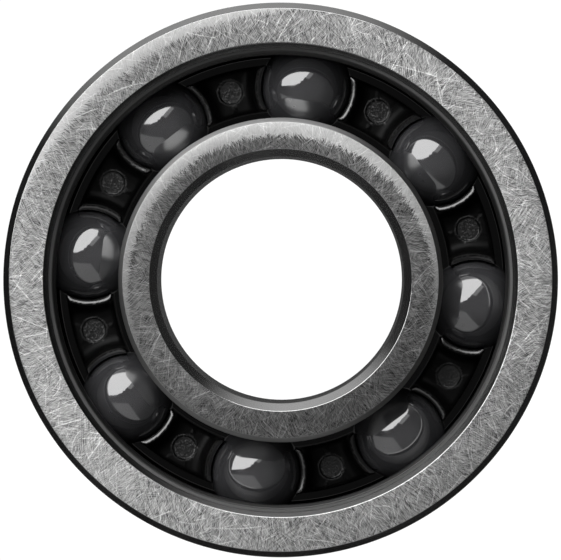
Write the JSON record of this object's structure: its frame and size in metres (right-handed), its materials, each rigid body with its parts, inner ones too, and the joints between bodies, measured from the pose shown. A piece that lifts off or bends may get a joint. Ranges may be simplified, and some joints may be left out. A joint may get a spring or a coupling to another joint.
{
  "type": "ball bearing",
  "caption": "Open single-row deep-groove ball bearing: ground steel rings, dark ceramic balls and a moulded crown cage, to carry a rotating shaft.",
  "frame": {"origin": "centre of the bearing, on its axis and midway between the two faces", "axes": "+Z along the bearing's axis, towards the side on which the cage's claws are open; +X and +Y in the middle plane"},
  "size_m": [0.0286, 0.0286, 0.008],
  "materials": {
    "ground_steel": "satin",
    "silicon_nitride": "polished",
    "cage_polymer": "satin"
  },
  "bodies": {
    "outer_ring": {"outer_ring": "ground_steel"},
    "inner_ring": {"inner_ring": "ground_steel"},
    "cage": {"cage": "cage_polymer"},
    "ball_1": {"ball_1": "silicon_nitride"},
    "ball_2": {"ball_2": "silicon_nitride"},
    "ball_3": {"ball_3": "silicon_nitride"},
    "ball_4": {"ball_4": "silicon_nitride"},
    "ball_5": {"ball_5": "silicon_nitride"},
    "ball_6": {"ball_6": "silicon_nitride"},
    "ball_7": {"ball_7": "silicon_nitride"},
    "ball_8": {"ball_8": "silicon_nitride"}
  },
  "joints": [
    {"name": "inner_ring_spin", "type": "hinge", "parent": "outer_ring", "child": "inner_ring", "pos_m": [0, 0, 0], "axis": [0, 0, 1], "continuous": true},
    {"name": "cage_spin", "type": "hinge", "parent": "outer_ring", "child": "cage", "pos_m": [0, 0, 0], "axis": [0, 0, 1], "continuous": true},
    {"name": "ball_1_spin", "type": "hinge", "parent": "cage", "child": "ball_1", "pos_m": [0.008, 0.00616, 0], "axis": [0, 0, 1], "continuous": true},
    {"name": "ball_2_spin", "type": "hinge", "parent": "cage", "child": "ball_2", "pos_m": [0.0013, 0.01002, 0], "axis": [0, 0, 1], "continuous": true},
    {"name": "ball_3_spin", "type": "hinge", "parent": "cage", "child": "ball_3", "pos_m": [-0.00616, 0.008, 0], "axis": [0, 0, 1], "continuous": true},
    {"name": "ball_4_spin", "type": "hinge", "parent": "cage", "child": "ball_4", "pos_m": [-0.01002, 0.0013, 0], "axis": [0, 0, 1], "continuous": true},
    {"name": "ball_5_spin", "type": "hinge", "parent": "cage", "child": "ball_5", "pos_m": [-0.008, -0.00616, 0], "axis": [0, 0, 1], "continuous": true},
    {"name": "ball_6_spin", "type": "hinge", "parent": "cage", "child": "ball_6", "pos_m": [-0.0013, -0.01002, 0], "axis": [0, 0, 1], "continuous": true},
    {"name": "ball_7_spin", "type": "hinge", "parent": "cage", "child": "ball_7", "pos_m": [0.00616, -0.008, 0], "axis": [0, 0, 1], "continuous": true},
    {"name": "ball_8_spin", "type": "hinge", "parent": "cage", "child": "ball_8", "pos_m": [0.01002, -0.0013, 0], "axis": [0, 0, 1], "continuous": true}
  ],
  "couplings": [
    {"joint": "cage_spin", "follows": "inner_ring_spin", "ratio": 0.38212},
    {"joint": "ball_1_spin", "follows": "inner_ring_spin", "ratio": -2.0029},
    {"joint": "ball_2_spin", "follows": "inner_ring_spin", "ratio": -2.0029},
    {"joint": "ball_3_spin", "follows": "inner_ring_spin", "ratio": -2.0029},
    {"joint": "ball_4_spin", "follows": "inner_ring_spin", "ratio": -2.0029},
    {"joint": "ball_5_spin", "follows": "inner_ring_spin", "ratio": -2.0029},
    {"joint": "ball_6_spin", "follows": "inner_ring_spin", "ratio": -2.0029},
    {"joint": "ball_7_spin", "follows": "inner_ring_spin", "ratio": -2.0029},
    {"joint": "ball_8_spin", "follows": "inner_ring_spin", "ratio": -2.0029}
  ]
}
